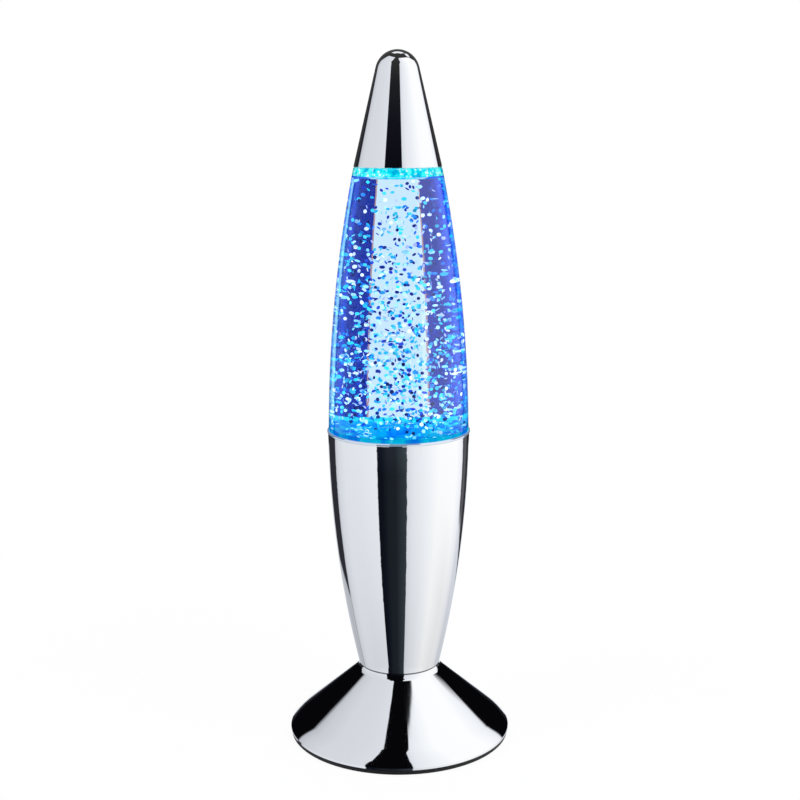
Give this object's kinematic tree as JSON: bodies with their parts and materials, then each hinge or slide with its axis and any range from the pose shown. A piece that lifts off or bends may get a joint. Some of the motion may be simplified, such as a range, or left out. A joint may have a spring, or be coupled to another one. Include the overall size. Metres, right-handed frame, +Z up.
{
  "type": "glitter lamp",
  "caption": "Rocket-shaped table lamp: a clear tapered bottle of lit, motor-stirred glitter liquid between a chrome cone cap and a chrome stand; battery powered, switch underneath.",
  "frame": {"origin": "middle of the lamp on the surface that it stands on", "axes": "+Z up along the lamp axis, -Y is the front, where the switch is under the foot"},
  "size_m": [0.111, 0.111, 0.34],
  "materials": {
    "chrome_shell": "mirror-bright vacuum-plated chrome on moulded ABS",
    "clear_bottle": "clear polished plastic, tinted by the lit liquid",
    "glitter_liquid": "clear liquid lit blue from below",
    "glitter_film": "metallised plastic film",
    "black_plastic": "fine-grained black moulding",
    "white_plastic": "plain white moulding",
    "clear_cover": "clear moulding",
    "led_lens": "clear epoxy lens",
    "board_green": "solder mask",
    "board_black": "moulded electronic parts",
    "zinc_steel": "zinc-plated steel",
    "spring_steel": "nickel-plated spring steel",
    "armature_iron": "laminated iron wound with enamelled wire",
    "magnet_black": "sintered magnet",
    "pale_plastic": "natural plastic moulding",
    "rubber_black": "soft rubber",
    "cell_jacket": "plain jacket on a steel can",
    "red_insulation": "soft insulation",
    "black_insulation": "soft insulation"
  },
  "bodies": {
    "base": {"lower_housing": "chrome_shell", "joining_screws": "zinc_steel", "light_cover": "clear_cover", "light_tray": "white_plastic", "tray_screws": "zinc_steel", "light_board": "board_green", "leds": "led_lens", "board_parts": "board_black", "motor_can": "zinc_steel", "motor_end_cap": "white_plastic", "motor_terminals": "spring_steel", "motor_magnet": "magnet_black", "motor_screws": "zinc_steel", "foot_shell": "chrome_shell", "base_plate": "black_plastic", "plate_screws": "zinc_steel", "rubber_pads": "rubber_black", "cells": "cell_jacket", "contacts": "spring_steel", "contact_springs": "spring_steel", "switch_body": "black_plastic", "switch_terminals": "spring_steel", "switch_screws": "zinc_steel", "switch_lead": "red_insulation", "red_lead": "red_insulation", "black_lead": "black_insulation", "motor_leads": "red_insulation"},
    "rotor": {"motor_shaft": "zinc_steel", "motor_armature": "armature_iron", "magnet_carrier": "white_plastic", "drive_magnets": "magnet_black"},
    "bottle": {"bottle_shell": "clear_bottle", "bottle_base": "clear_bottle", "filler_plug": "pale_plastic", "plug_seal": "rubber_black", "stirrer_pin": "spring_steel", "stirrer_keeper": "pale_plastic", "glitter_fluid": "glitter_liquid", "glitter_flakes": "glitter_film"},
    "stirrer": {"stirrer": "pale_plastic", "stirrer_magnets": "magnet_black"},
    "cap": {"top_cap": "chrome_shell"},
    "door": {"battery_door": "black_plastic", "door_screw": "zinc_steel"},
    "switch_knob": {"switch_knob": "black_plastic"}
  },
  "joints": [
    {"name": "bottle_lift", "type": "slide", "parent": "base", "child": "bottle", "axis": [0, 0, 1], "range_m": [0, 0.03]},
    {"name": "cap_lift", "type": "slide", "parent": "bottle", "child": "cap", "axis": [0, 0, 1], "range_m": [0, 0.045]},
    {"name": "motor_spin", "type": "hinge", "parent": "base", "child": "rotor", "pos_m": [0, 0, 0.13], "axis": [0, 0, 1], "continuous": true},
    {"name": "stirrer_spin", "type": "hinge", "parent": "bottle", "child": "stirrer", "pos_m": [0, 0, 0.155], "axis": [0, 0, 1], "continuous": true},
    {"name": "door_swing", "type": "hinge", "parent": "base", "child": "door", "pos_m": [0.03055, 0, 0.0007], "axis": [0, -1, 0], "range_deg": [0, 80]},
    {"name": "switch_slide", "type": "slide", "parent": "base", "child": "switch_knob", "axis": [-1, 0, 0], "range_m": [0, 0.004]}
  ],
  "couplings": [
    {"joint": "stirrer_spin", "follows": "motor_spin", "ratio": 1}
  ]
}
